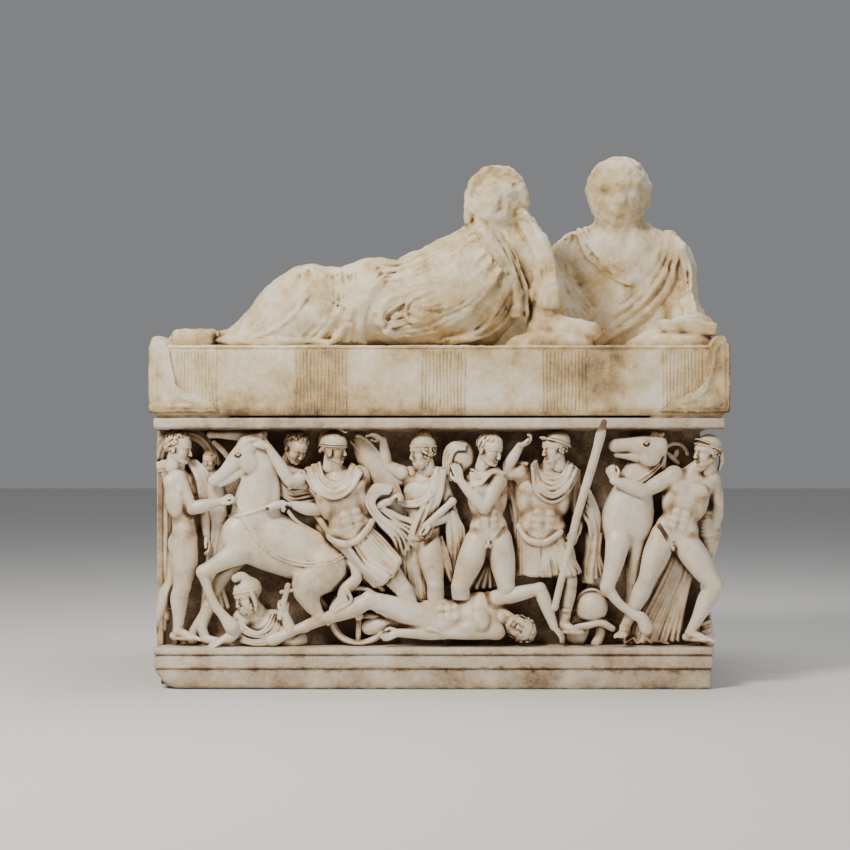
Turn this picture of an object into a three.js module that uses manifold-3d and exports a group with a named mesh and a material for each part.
// A carved marble sarcophagus of the Attic kind: a hollow chest with a battle frieze in high relief on its
// front, and a lid carved as a couch on which a couple reclines. Two pieces of stone, each one solid.
// Units are millimetres. +X runs along the front, -Y faces the viewer, +Z is up, and the origin is the
// middle of the footprint, on the ground.
import * as THREE from "three";
import { mergeVertices } from "three/addons/utils/BufferGeometryUtils.js";
import Module from "manifold-3d";

const wasm = await Module();
wasm.setup();

// ---------------------------------------------------------------- driving dimensions

const LID = { halfLength: 1082, halfDepth: 640, mattressInset: 7, bottom: 1030, mattress: 253 };
const CHEST = {
  height: 1012,
  rim: { left: -1066, right: 1066, halfDepth: 625, height: 41 },
  plinth: { left: -1066, right: 1022, halfDepth: 622, height: 156 },
  core: { left: -996, right: 990, back: 592 },
  cavity: { halfLength: 880, front: -375, back: 480, floor: 190 },
};
const RELIEF = 140; // from the wall behind the figures out to the face of the rim
const WALL_Y = -CHEST.rim.halfDepth + RELIEF;
const PAD = { length: 270, depth: 150, inset: 12 }; // raised corner pads that carry the lid
const GROUND = CHEST.plinth.height;
const BURIED = -16; // how far the back of a relief piece reaches into the wall, as a place in front of it

// ---------------------------------------------------------------- solids

const vec = (x, y, z) => new THREE.Vector3(x, y, z);
const mix = (a, b, share) => a.map((value, i) => value + (b[i] - value) * share);

/** A point of the frieze: along the front, height above the floor, and how far it stands off the wall. */
const onFrieze = ([x, z, out]) => vec(x, WALL_Y - out, z);

/** A closed three.js geometry as a solid that can be joined and cut. */
function toSolid(geometry) {
  const bare = geometry.index ? geometry.toNonIndexed() : geometry;
  const points = new THREE.BufferGeometry().setAttribute("position", bare.getAttribute("position"));
  const merged = mergeVertices(points, 1e-3);
  const corners = merged.index.array;
  const faces = [];
  for (let i = 0; i < corners.length; i += 3) {
    const [a, b, c] = [corners[i], corners[i + 1], corners[i + 2]];
    if (a !== b && b !== c && c !== a) faces.push(a, b, c);
  }
  return new wasm.Manifold(
    new wasm.Mesh({
      numProp: 3,
      vertProperties: new Float32Array(merged.attributes.position.array),
      triVerts: new Uint32Array(faces),
    }),
  );
}

const join = (solids) => solids.reduce((whole, next) => whole.add(next));

/** A rectangular block between two corners. */
function block([x0, y0, z0], [x1, y1, z1]) {
  const box = new THREE.BoxGeometry(x1 - x0, y1 - y0, z1 - z0);
  return toSolid(box.translate((x0 + x1) / 2, (y0 + y1) / 2, (z0 + z1) / 2));
}

/**
 * A turned profile laid from a to b. profile holds [radius, share of the length] pairs, and side is the
 * direction of the section's width, which is `flat` times its depth.
 */
function turned(a, b, profile, { sides = 6, side = vec(1, 0, 0), flat = 1, shape = null } = {}) {
  const axis = b.clone().sub(a);
  const length = axis.length();
  const points = profile.map(([radius, share]) => new THREE.Vector2(radius, share * length));
  const lathe = new THREE.LatheGeometry(points, sides, Math.PI / sides);
  if (shape) shape(lathe);
  const up = axis.normalize();
  const across = side.clone().addScaledVector(up, -side.dot(up));
  if (across.length() < 0.05) across.set(0, 0, 1).addScaledVector(up, -up.z);
  across.normalize();
  const depth = across.clone().cross(up);
  lathe.scale(1, 1, 1 / flat);
  return toSolid(lathe.applyMatrix4(new THREE.Matrix4().makeBasis(across, up, depth).setPosition(a)));
}

/** A straight bar with blunt ends. */
function bar(a, b, radius, sides = 4) {
  return turned(a, b, [[0, 0], [radius, 0], [radius, 1], [0, 1]], { sides });
}

/** An egg: a ball stretched to the three half sizes, tilted in the plane of the front. */
function egg(centre, [halfX, halfY, halfZ], tilt = 0, facets = 7) {
  const ball = new THREE.SphereGeometry(1, facets, Math.max(2, facets - 3));
  ball.rotateX(Math.PI / 2).scale(halfX, halfY, halfZ).rotateY(THREE.MathUtils.degToRad(tilt));
  return toSolid(ball.translate(centre.x, centre.y, centre.z));
}

/** True where a closed set of faces points outwards, from the signed volumes of its wedges to the origin. */
function facesOut(points, faces) {
  let bulk = 0;
  for (let i = 0; i < faces.length; i += 3) {
    const [a, b, c] = faces.slice(i, i + 3).map((corner) => points[corner]);
    bulk += a.dot(b.clone().cross(c));
  }
  return bulk > 0;
}

/** The middle of a ring of points. */
const middle = (ring) => ring.reduce((sum, point) => sum.add(point), vec(0, 0, 0)).divideScalar(ring.length);

/** A ring of points about a centre, on two half axes. */
const circle = (centre, wide, deep, sides) =>
  Array.from({ length: sides }, (_, i) => {
    const turn = (2 * Math.PI * (i + 0.5)) / sides;
    return centre.clone().addScaledVector(wide, Math.cos(turn)).addScaledVector(deep, Math.sin(turn));
  });

/**
 * A closed skin over rings of points. All rings have the same number of points, running the same way round.
 * Each end is closed flat from its first point, or to a tip where tips are given.
 */
function skin(rings, tips = null) {
  const size = rings[0].length;
  const last = (rings.length - 1) * size;
  const points = [...rings.flat(), ...(tips ?? [])];
  const faces = [];
  for (let i = 0; i < size; i += 1) {
    const next = (i + 1) % size;
    for (let row = 0; row < last; row += size) {
      faces.push(row + i, row + next, row + size + next, row + i, row + size + next, row + size + i);
    }
    if (tips) faces.push(last + size, next, i, last + size + 1, last + i, last + next);
    else if (i && next) faces.push(0, next, i, last, last + i, last + next);
  }
  const geometry = new THREE.BufferGeometry().setFromPoints(points);
  return toSolid(geometry.setIndex(facesOut(points, faces) ? faces : faces.reverse()));
}

/**
 * A limb through its joints: a faceted tube with a half width at each joint, its sections turned halfway
 * at every bend, and blunt ends that run on into its neighbours. flat is its depth as a share of its width.
 */
function limb(joints, widths, sides = 5, flat = 1) {
  const last = joints.length - 1;
  const rings = joints.map((joint, i) => {
    const before = joint.clone().sub(joints[Math.max(i - 1, 0)]).normalize();
    const after = joints[Math.min(i + 1, last)].clone().sub(joint).normalize();
    const along = before.clone().add(after).normalize();
    const outward = vec(0, -1, 0).addScaledVector(along, along.y).normalize();
    const sideways = along.clone().cross(outward);
    const bend = i % last ? Math.min(1 / Math.max(along.dot(before), 0.01), 1.5) : 1;
    const centre = joint.clone().addScaledVector(along, i % last ? 0 : (i ? 0.4 : -0.4) * widths[i]);
    const wide = sideways.multiplyScalar(widths[i] * bend);
    return circle(centre, wide, outward.multiplyScalar(widths[i] * flat), sides);
  });
  return skin(rings);
}

/** A limb through places of the frieze. */
const reach = (joints, widths, sides, flat) => limb(joints.map(onFrieze), widths, sides, flat);

/** A body by flat-sided ovals: stations [centre, half width, half depth], measured to the flats. */
function loft(stations, across, deep, sides = 8) {
  const half = (direction, size) => direction.clone().multiplyScalar(size / Math.cos(Math.PI / sides));
  return skin(stations.map(([centre, w, d]) => circle(centre, half(across, w), half(deep, d), sides)));
}

/**
 * Hanging cloth: a slab with a pleated face. rows are its cross lines from top to foot, each a pair of
 * points [x, z, out] from left to right; count is the number of ridges, and back where its rear lies.
 */
function drape(rows, count, ridge, back = BURIED) {
  const rings = rows.map(([left, right]) => {
    const front = Array.from({ length: 2 * count + 1 }, (_, i) => {
      const [x, z, out] = mix(left, right, i / (2 * count));
      return onFrieze([x, z, out + (i % 2 ? ridge : 0)]);
    });
    return [...front, onFrieze([right[0], right[1], back]), onFrieze([left[0], left[1], back])];
  });
  return skin(rings, [middle(rings[0]), middle(rings.at(-1))]);
}

/** Pleats: every other edge of a turned skirt is drawn in. */
const pleats = (drawnIn) => (lathe) => {
  const place = lathe.getAttribute("position");
  const columns = lathe.parameters.segments;
  for (let i = 0; i < place.count; i += 1) {
    const angle = Math.atan2(place.getX(i), place.getZ(i)) - lathe.parameters.phiStart;
    const column = Math.round((angle * columns) / (2 * Math.PI));
    const share = column % 2 ? drawnIn : 1;
    place.setX(i, place.getX(i) * share);
    place.setZ(i, place.getZ(i) * share);
  }
};

// ---------------------------------------------------------------- figures of the frieze

/**
 * Where a chain of bones leads. Each bone is [angle, length, out]: the angle in degrees from straight down,
 * turning towards +X, its length in the plane of the front, and how far its far end stands out.
 */
function chain(start, bones) {
  const joints = [start];
  for (const [angle, length, out] of bones) {
    const [x, z] = joints.at(-1);
    const turn = THREE.MathUtils.degToRad(angle);
    joints.push([x + length * Math.sin(turn), z - length * Math.cos(turn), out]);
  }
  return joints;
}

/** The joints of a figure: hips, neck, head, and its arms and legs as chains. */
function skeleton({ hips, spine, head, arms, legs }) {
  const [lean, torso, neckOut] = spine;
  const neck = chain(hips, [[180 - lean, torso, neckOut]])[1];
  const [nod, rise, headOut] = head;
  const from = (origin) => ([[dx, dz, out], ...bones]) => chain([origin[0] + dx, origin[1] + dz, out], bones);
  return {
    hips,
    neck,
    head: chain(neck, [[180 - nod, rise, headOut]])[1],
    arms: arms.map(from(neck)),
    legs: legs.map(from(hips)),
  };
}

const HEAD = 53; // half the width of a head
const GIRTH = { arm: [26, 23, 17, 14], leg: [42, 31, 20, 15] };

/** Trunk: a flattened turned form from crotch to neck, as broad as the shoulders lie apart. */
function trunk({ hips, neck, arms }) {
  const [left, right] = arms.map(([shoulder]) => onFrieze(shoulder));
  const across = right.clone().sub(left);
  const breadth = Math.max(across.length() / 2, 72);
  const profile = [
    [0, -0.2], [breadth * 0.72, -0.06], [breadth * 0.72, 0.28],
    [breadth * 0.95, 0.7], [breadth * 0.8, 0.92], [0, 1.16],
  ];
  return turned(onFrieze(hips), onFrieze(neck), profile, { sides: 8, side: across, flat: 1.45 });
}

/** Neck and head in one skin, with the hair as a wider cap. face is +1 towards +X, -1 towards -X, 0 to us. */
function skull({ neck, head }, { face = 0, crest = false, beard = false } = {}) {
  const up = onFrieze(head).sub(onFrieze(neck)).normalize();
  const ahead = vec(face || 0.2, face ? -0.3 : -1, 0).normalize();
  const wide = ahead.clone().cross(up).normalize();
  const oval = (centre, size) =>
    circle(centre, wide.clone().multiplyScalar(size), ahead.clone().multiplyScalar(size * 1.06), 6);
  const ring = (rise, forward, size) =>
    oval(onFrieze(head).addScaledVector(up, rise * HEAD).addScaledVector(ahead, forward * HEAD), size * HEAD);
  const chin = beard ? ring(-1.2, 0.36, 0.72) : ring(-1.15, 0.2, 0.6);
  const throat = oval(onFrieze(neck), 0.72 * HEAD);
  const nose = onFrieze(head).addScaledVector(ahead, HEAD * 0.98).addScaledVector(up, -HEAD * 0.2);
  const pieces = [
    skin([throat, chin, ring(-0.1, 0.02, 0.98), ring(0.45, -0.08, 1.14), ring(1.15, -0.14, 0.8)]),
    egg(nose, [13, 13, 20], 0, 4),
  ];
  if (crest) {
    const [x, z, out] = head;
    pieces.push(reach([[x - 66, z + 30, out], [x - 6, z + 90, out], [x + 52, z + 66, out]], [14, 19, 12], 4));
  }
  return join(pieces);
}

/** A body from its joints: trunk, neck, head and limbs, as far as they show. */
function body(figure) {
  const bones = skeleton(figure);
  const { arm, leg } = GIRTH;
  return join([
    trunk(bones),
    skull(bones, figure.look),
    ...bones.arms.map((joints) => reach(joints, arm)),
    ...bones.legs.map((joints) => reach(joints, leg)),
  ]);
}

/** A pleated skirt from the waist to its hem: [x, z, out] at both ends, and the half widths there. */
function skirt([waist, hem], halfWaist, halfHem) {
  const profile = [[0, 0], [halfWaist, 0], [halfHem, 1], [0, 1]];
  return turned(onFrieze(waist), onFrieze(hem), profile, { sides: 12, flat: 1.5, shape: pleats(0.84) });
}

const GROOM = {
  hips: [-954, 554, 66], spine: [-6, 280, 66], head: [11, 72, 80], look: { face: 1 },
  arms: [
    [[13, -41, 96], [30, 125, 110], [103, 120, 110], [145, 45, 110]],
    [[43, -30, 45], [20, 120, 40], [9, 110, 50]],
  ],
  legs: [
    [[4, -15, 80], [-3, 160, 84], [-5, 165, 70], [62, 90, 75]],
    [[-19, -15, 45], [-11, 165, 40], [-16, 160, 30]],
  ],
};
const HERO = {
  hips: [-307, 558, 66], spine: [-23, 265, 70], head: [5, 88, 82], look: { face: 1, crest: true },
  arms: [
    [[-93, -4, 80], [-73, 80, 100], [-150, 150, 106], [-117, 60, 108]],
    [[112, 4, 70], [13, 120, 70], [121, 80, 104], [124, 25, 110]],
  ],
  legs: [
    [[26, -19, 80], [39, 245, 96], [22, 130, 100], [49, 70, 110]],
  ],
};
const ELDER = {
  hips: [-58, 558, 50], spine: [3, 240, 58], head: [-7, 90, 82], look: { face: -1, beard: true },
  arms: [
    [[-100, 4, 40], [-115, 60, 40], [-172, 110, 55]],
    [[33, -22, 70], [29, 140, 80], [-53, 80, 108], [-61, 40, 112]],
  ],
  legs: [
    [[30, -19, 66], [8, 140, 84], [-1, 160, 50]],
    [[-37, -19, 40], [-8, 200, 34]],
  ],
};
const COMRADE = {
  hips: [180, 569, 70], spine: [-6, 245, 70], head: [19, 90, 84], look: { face: 1 },
  arms: [
    [[-56, -22, 55], [-17, 105, 45]],
    [[56, -37, 90], [-30, 110, 110], [-136, 140, 112], [-156, 72, 110]],
  ],
  legs: [
    [[-37, -30, 80], [-24, 175, 92], [5, 130, 50]],
    [[45, -19, 76], [10, 165, 84], [3, 165, 50]],
  ],
};
const SPEARMAN = {
  hips: [392, 565, 62], spine: [10, 240, 66], head: [-2, 88, 82], look: { face: -1 },
  arms: [
    [[-86, 15, 66], [-99, 90, 70], [147, 115, 96], [117, 40, 104]],
    [[82, 0, 66], [8, 155, 80], [-22, 70, 104], [-14, 34, 112]],
  ],
  legs: [
    [[56, -26, 62], [18, 155, 72], [-9, 165, 66], [53, 80, 78]],
  ],
};
const HANDLER = {
  hips: [872, 558, 80], spine: [20, 260, 76], head: [12, 92, 82], look: { face: -1 },
  arms: [
    [[-89, 0, 88], [-57, 140, 108], [-112, 115, 110], [-162, 60, 108]],
    [[78, -37, 66], [-7, 95, 52], [-9, 95, 40]],
  ],
  legs: [
    [[-48, 0, 84], [-20, 160, 92], [-23, 200, 66], [-40, 50, 90]],
    [[47, -34, 84], [32, 180, 92], [-27, 195, 76], [62, 92, 84]],
  ],
};
const SLAIN = {
  hips: [-28, 253, 74], spine: [82, 270, 74], head: [135, 100, 82], look: { tilt: 40 },
  arms: [
    [[-11, 37, 70], [103, 165, 92], [15, 160, 88], [39, 50, 92]],
    [[-11, -62, 96], [-85, 170, 108], [-90, 165, 108], [-74, 60, 108]],
  ],
  legs: [
    [[-7, -30, 84], [-109, 230, 96], [-67, 270, 96]],
    [[-7, 10, 55], [-80, 400, 50]],
  ],
};
const TRAMPLED = {
  hips: [-660, 130, 40], spine: [-15, 164, 62], head: [-18, 72, 82], look: { face: -1, beard: true },
  arms: [
    [[-78, -33, 60], [-64, 105, 88], [63, 105, 108], [32, 35, 122]],
    [[78, 0, 50], [57, 60, 60], [159, 65, 84], [176, 30, 90]],
  ],
  legs: [],
};

/** A head of the crowd behind, in lower relief, on a stump of neck. */
function bystander([x, z, out], face, half = 42) {
  return join([
    egg(onFrieze([x, z, out]), [half * 0.9, half, half * 1.24], -6 * face, 6),
    egg(onFrieze([x + face * half * 0.8, z - 10, out + half * 0.4]), [12, 12, 18], 0, 4),
    reach([[x, z, out], [x - face * 12, z - 95, out - 25]], [half * 0.6, half * 0.9]),
  ]);
}

// ---------------------------------------------------------------- horses

/** A rearing horse seen from its side. */
function rearingHorse() {
  return join([
    reach([[-716, 900, 86], [-756, 862, 92], [-838, 782, 96]], [34, 50, 26], 6, 0.8),
    reach([[-712, 890, 82], [-676, 780, 76], [-672, 660, 72]], [46, 62, 104], 6, 0.6),
    reach([[-742, 570, 70], [-630, 540, 70], [-520, 500, 68], [-405, 452, 66]], [92, 122, 96, 92], 8, 0.55),
    reach([[-742, 530, 92], [-876, 436, 106], [-822, 298, 104], [-785, 236, 106]], [54, 28, 18, 22]),
    reach([[-757, 500, 50], [-840, 368, 44], [-908, 236, 40], [-928, 182, 42]], [44, 24, 16, 20]),
    reach([[-420, 455, 74], [-492, 392, 88], [-452, 274, 82], [-566, 208, 90]], [84, 54, 27, 20], 5, 0.8),
    reach([[-560, 208, 88], [-612, 184, 98]], [20, 24]),
    reach([[-362, 490, 60], [-312, 424, 76], [-352, 346, 84], [-398, 262, 84]], [18, 24, 22, 12]),
  ]);
}

/** The second horse: chest to the front, its head thrown round in profile. */
function frontalHorse() {
  return join([
    reach([[822, 905, 80], [776, 896, 86], [658, 900, 94]], [40, 54, 28], 6, 0.85),
    reach([[786, 880, 66], [730, 740, 60], [712, 600, 56], [706, 520, 56]], [60, 88, 112, 78], 8, 0.6),
    reach([[682, 552, 88], [634, 388, 102], [740, 270, 106], [770, 232, 108]], [44, 28, 18, 23]),
    reach([[738, 545, 60], [726, 330, 46]], [40, 20]),
  ]);
}

// ---------------------------------------------------------------- arms and gear

/** A spoked chariot wheel that stands in the plane of the front. */
function wheel([x, z, out], radius) {
  const ring = toSolid(new THREE.TorusGeometry(radius, 15, 3, 12).rotateX(Math.PI / 2));
  const spokes = [0, 90].map((degrees) => {
    const turn = THREE.MathUtils.degToRad(degrees);
    const [dx, dz] = [Math.sin(turn) * radius, Math.cos(turn) * radius];
    return bar(onFrieze([x - dx, z - dz, out]), onFrieze([x + dx, z + dz, out]), 12);
  });
  return join([ring.translate([x, WALL_Y - out, z]), ...spokes]);
}

/** A round shield, foreshortened to a leaning oval between its two far ends. */
function shield(top, foot, thickness, squeeze) {
  const [a, b] = [onFrieze(top), onFrieze(foot)];
  const middle = a.clone().lerp(b, 0.5);
  const radius = a.distanceTo(b) / 2;
  const disc = new THREE.CylinderGeometry(radius, radius * 0.94, thickness, 12);
  disc.scale(squeeze, 1, 1).rotateY(-Math.atan2(b.x - a.x, a.z - b.z));
  return toSolid(disc.translate(middle.x, middle.y, middle.z));
}

/** The arch of a gateway: a half ring that stands out from the wall. */
function archway([x, z, out], radius, width, curveSegments = 5) {
  const ring = new THREE.Shape();
  ring.absarc(0, 0, radius, 0, Math.PI, false);
  ring.absarc(0, 0, radius - width, Math.PI, 0, true);
  const arch = new THREE.ExtrudeGeometry(ring, { depth: out - BURIED, bevelEnabled: false, curveSegments });
  return toSolid(arch.rotateX(Math.PI / 2).translate(x, WALL_Y - BURIED, z));
}

/** A helmet set down on a short post: dome, brim and stand. */
function helmetOnPost([x, z, out]) {
  return join([
    egg(onFrieze([x, z, out]), [68, 54, 64], 0, 6),
    reach([[x - 64, z - 74, out], [x + 6, z - 50, out + 10], [x + 76, z - 56, out]], [12, 20, 12], 4),
    bar(onFrieze([x + 20, z - 60, out - 10]), onFrieze([x + 8, GROUND - 6, out - 10]), 20),
  ]);
}

/** Cloth behind and between the figures, each piece from its top line to its foot. */
function cloths() {
  return join([
    drape([[[-1056, 850, 40], [-1000, 850, 30]], [[-1050, 180, 40], [-990, 330, 30]]], 2, 24),
    drape([[[-925, 822, 44], [-872, 800, 40]], [[-915, 700, 40], [-860, 650, 34]]], 1, 18),
    drape([[[-862, 640, 26], [-800, 640, 26]], [[-892, 180, 22], [-790, 170, 24]]], 1, 26),
    drape([[[-600, 790, 30], [-450, 770, 30]], [[-590, 640, 26], [-440, 650, 30]]], 1, 24),
    drape([[[-455, 806, 96], [-290, 812, 92]], [[-390, 742, 112], [-300, 756, 108]]], 2, 16, 30),
    drape([[[-255, 700, 86], [-200, 738, 96]], [[-108, 506, 70], [-84, 560, 80]]], 2, 22, 20),
    drape([[[-150, 620, 56], [-60, 600, 66]], [[-150, 400, 30], [-70, 400, 44]]], 2, 22),
    drape([[[-30, 600, 76], [70, 660, 76]], [[0, 270, 40], [52, 290, 44]]], 3, 20),
    drape([[[118, 826, 84], [206, 806, 100]], [[118, 752, 76], [180, 762, 92]]], 2, 15),
    drape([[[238, 812, 56], [268, 790, 50]], [[256, 400, 36], [290, 400, 32]]], 1, 17),
    drape([[[128, 480, 40], [240, 480, 36]], [[100, 340, 34], [250, 340, 32]]], 2, 20),
    drape([[[340, 818, 84], [505, 812, 84]], [[376, 750, 112], [446, 745, 112]]], 2, 16, 30),
    drape([[[540, 770, 64], [620, 700, 60]], [[566, 384, 46], [640, 404, 40]]], 3, 20),
    drape([[[984, 720, 40], [1044, 720, 36]], [[980, 556, 36], [1044, 548, 30]]], 1, 22),
    drape([[[872, 530, 30], [985, 562, 36]], [[690, 165, 34], [930, 165, 44]]], 4, 26),
  ]);
}

/** Everything else that is worn, carried or set down. */
function gear() {
  const at = onFrieze;
  return join([
    archway([-950, 850, 40], 112, 26),
    bystander([-869, 856, 44], -1, 30),
    reach([[-770, 930, 34], [-862, 946, 44]], [40, 22]),
    bystander([-538, 898, 58], 1),
    reach([[-430, 678, 70], [-535, 690, 96], [-640, 672, 106]], [22, 24, 12]),
    bar(at([-466, 660, 46]), at([-216, 366, 46]), 27),
    wheel([-303, 272, 58], 100),
    skirt([[-318, 585, 66], [-196, 408, 80]], 82, 98),
    shield([-312, 940, 34], [-136, 632, 34], 70, 0.36),
    turned(at([-66, 915, 82]), at([-32, 1000, 72]), [[0, 0], [54, 0.05], [34, 0.6], [0, 1]], { sides: 7 }),
    bar(at([-36, 622, 108]), at([54, 704, 104]), 14),
    egg(at([97, 866, 56]), [62, 52, 84], -14, 6),
    egg(at([438, 922, 78]), [62, 54, 46], 24, 6),
    skirt([[392, 596, 62], [404, 434, 66]], 82, 118),
    reach([[433, 298, 104], [590, 920, 110]], [13, 13], 4),
    turned(at([588, 900, 110]), at([612, 1008, 116]), [[0, 0], [12, 0.05], [20, 0.35], [0, 1]], { sides: 4 }),
    bar(at([478, 296, 66]), at([470, 322, 66]), 40),
    helmetOnPost([565, 305, 50]),
    egg(at([-640, 205, 44]), [118, 62, 74], 0, 6),
    bar(at([980, 150, 30]), at([980, 262, 30]), 30),
  ]);
}

/** The whole frieze: eight principal figures, two horses, and what goes with them. */
function frieze() {
  const people = [GROOM, HERO, ELDER, COMRADE, SPEARMAN, HANDLER, SLAIN, TRAMPLED];
  return join([cloths(), ...people.map(body), rearingHorse(), frontalHorse(), gear()]);
}

// ---------------------------------------------------------------- chest

/** The coffer: plinth with two fillet lines, recessed walls, rim and the pads that carry the lid. */
function coffer() {
  const { rim, plinth, core, height } = CHEST;
  const slab = ({ left, right, halfDepth }, z0, z1, inset = 0) =>
    block([left + inset, -halfDepth + inset, z0], [right - inset, halfDepth - inset, z1]);
  const stone = join([
    slab(plinth, 0, 76, 8),
    slab(plinth, 72, 128, 4),
    slab(plinth, 124, GROUND),
    block([core.left, WALL_Y, GROUND - 4], [core.right, core.back, height - 4]),
    slab(rim, height - rim.height, height),
  ]);
  const pads = [-1, 1].flatMap((endX) =>
    [-1, 1].map((endY) => {
      const outerX = endX * (rim.right - PAD.inset);
      const outerY = endY * (rim.halfDepth - PAD.inset);
      const [x0, x1] = [outerX, outerX - endX * PAD.length].sort((a, b) => a - b);
      const [y0, y1] = [outerY, outerY - endY * PAD.depth].sort((a, b) => a - b);
      return block([x0, y0, height - 4], [x1, y1, LID.bottom]);
    }),
  );
  return join([stone, ...pads]);
}

/** The worn foot of the plinth: a wedge lost along its lower front edge, deepest at the left corner. */
function lostFoot() {
  const { left, halfDepth } = CHEST.plinth;
  const wedgeAt = (x, high, deep) => [
    vec(x, -halfDepth - 20, -20), vec(x, -halfDepth + deep, -20), vec(x, -halfDepth - 20, high),
  ];
  return skin([wedgeAt(left - 10, 62, 90), wedgeAt(left + 60, 40, 60), wedgeAt(left + 1500, 8, 20)]);
}

/** Chest and frieze are one stone: the figures grow out of the wall, and nothing reaches into the hollow. */
function chest() {
  const { halfLength, front, back, floor } = CHEST.cavity;
  const hollow = block([-halfLength, front, floor], [halfLength, back, LID.bottom + 10]);
  return coffer().add(frieze()).subtract(hollow).subtract(lostFoot());
}

// ---------------------------------------------------------------- lid

/** The S-shaped end board of the couch, drawn from its outer lower corner at the left. */
function endBoard() {
  const outline = new THREE.Shape();
  outline.moveTo(0, 0);
  outline.lineTo(0, 262);
  outline.bezierCurveTo(14, 304, 52, 300, 84, 232);
  outline.bezierCurveTo(96, 190, 92, 100, 134, 82);
  outline.bezierCurveTo(180, 66, 232, 62, 268, 8);
  outline.lineTo(268, 0);
  const depth = 2 * LID.halfDepth;
  const board = new THREE.ExtrudeGeometry(outline, { depth, bevelEnabled: false, curveSegments: 4 });
  board.rotateX(Math.PI / 2);
  return toSolid(board).translate([-LID.halfLength, LID.halfDepth, LID.bottom]);
}

/** A fold of cloth over the couple: a blunt four-sided ridge between two points. */
const ridge = (start, end, thick) => limb([vec(...start), vec(...end)], [thick, thick * 0.85], 4);

/** A lying body: stations [x, y, z, half depth, half height] from the feet up. */
const lying = (stations) =>
  loft(stations.map(([x, y, z, deep, high]) => [vec(x, y, z), deep, high]), vec(0, 1, 0), vec(0, 0, 1));

/** An upright trunk: stations [z, x, y, half width, half depth] from the bottom up. */
const upright = (stations) =>
  loft(stations.map(([z, x, y, wide, deep]) => [vec(x, y, z), wide, deep]), vec(1, 0, 0), vec(0, 1, 0));

/** The woman in front: wrapped feet, raised knees, hip, chest, veiled head and the arm on the cushion. */
function woman(top) {
  const base = top + 30;
  return join([
    lying([
      [-1034, -290, base, 120, 28], [-1000, -290, base, 150, 46], [-858, -290, base, 150, 42],
      [-780, -290, base, 170, 80], [-640, -300, base, 200, 190], [-500, -300, base, 220, 288],
      [-360, -300, base, 230, 272], [-240, -300, base, 230, 318], [-140, -300, base, 230, 302],
      [10, -290, base, 226, 380], [100, -290, base, 190, 410],
    ]),
    upright([
      [top - 10, 190, -300, 262, 190], [top + 270, 200, -300, 240, 150], [top + 386, 205, -300, 200, 126],
      [top + 450, 196, -300, 126, 100], [top + 520, 222, -300, 116, 114], [top + 600, 222, -300, 128, 124],
      [top + 676, 222, -300, 92, 96], [top + 700, 222, -300, 50, 60],
    ]),
    limb([vec(340, -320, top + 330), vec(400, -360, top + 80), vec(590, -430, top + 56)], [74, 62, 42], 6),
    egg(vec(420, -420, top + 6), [172, 130, 62]),
    ridge([110, -420, top + 400], [120, -480, top + 60], 34),
    ridge([250, -430, top + 400], [300, -460, top + 60], 34),
    ridge([60, -480, top + 260], [-100, -520, top + 40], 36),
    ridge([-60, -480, top + 250], [-380, -520, top + 40], 36),
    ridge([-320, -500, top + 210], [-520, -510, top + 20], 36),
    ridge([-440, -480, top + 220], [-740, -440, top + 30], 36),
  ]);
}

/** The man behind: bearded head, broad chest in a mantle, and the forearm that rests at the couch's head. */
function man(top) {
  return join([
    lying([
      [-240, 200, top, 120, 90], [-100, 200, top, 170, 190],
      [480, 180, top, 200, 300], [700, 160, top, 190, 260],
    ]),
    upright([
      [top - 10, 745, 140, 230, 170], [top + 160, 745, 130, 252, 180], [top + 330, 735, 130, 266, 168],
      [top + 424, 712, 130, 274, 150], [top + 482, 735, 126, 200, 112], [top + 506, 732, 110, 100, 96],
      [top + 560, 732, 80, 110, 112], [top + 650, 732, 80, 132, 128], [top + 736, 732, 84, 106, 100],
      [top + 790, 732, 90, 40, 40],
    ]),
    limb([vec(935, 110, top + 360), vec(980, 20, top + 120), vec(1006, -400, top + 62)], [78, 72, 46], 6),
    egg(vec(880, -380, top + 8), [190, 150, 66]),
    block([838, -500, top + 48], [1047, -420, top + 97]),
    ridge([830, -20, top + 430], [640, -60, top + 100], 36),
    ridge([940, 10, top + 400], [840, -60, top + 60], 36),
    ridge([790, -40, top + 330], [540, 0, top + 410], 30),
  ]);
}

/** Lid: mattress, end boards and the couple, one stone, cut flat along the mattress's underside. */
function lid() {
  const { halfLength, halfDepth, mattressInset, bottom, mattress } = LID;
  const top = bottom + mattress;
  const bed = block(
    [-halfLength + 20, -halfDepth + mattressInset, bottom],
    [halfLength - 20, halfDepth - mattressInset, top],
  );
  const above = block([-halfLength, -halfDepth, bottom + 40], [halfLength, halfDepth, 3000]);
  const couple = woman(top).add(man(top)).intersect(above);
  const left = endBoard();
  return join([bed, left, left.mirror([1, 0, 0]), couple]);
}

// ---------------------------------------------------------------- scene

/** A named stone in the scene, from a solid. */
function stone(name, solid, color) {
  const { vertProperties, triVerts } = solid.getMesh();
  const geometry = new THREE.BufferGeometry()
    .setAttribute("position", new THREE.BufferAttribute(new Float32Array(vertProperties), 3))
    .setIndex(new THREE.BufferAttribute(new Uint32Array(triVerts), 1));
  geometry.computeVertexNormals();
  const material = new THREE.MeshStandardMaterial({ color, roughness: 0.72, metalness: 0 });
  const mesh = new THREE.Mesh(geometry, material);
  mesh.name = name;
  return mesh;
}

const sarcophagus = new THREE.Group();
sarcophagus.add(stone("chest", chest(), 0xd9cdb8), stone("lid", lid(), 0xdccdaf));

export default sarcophagus;
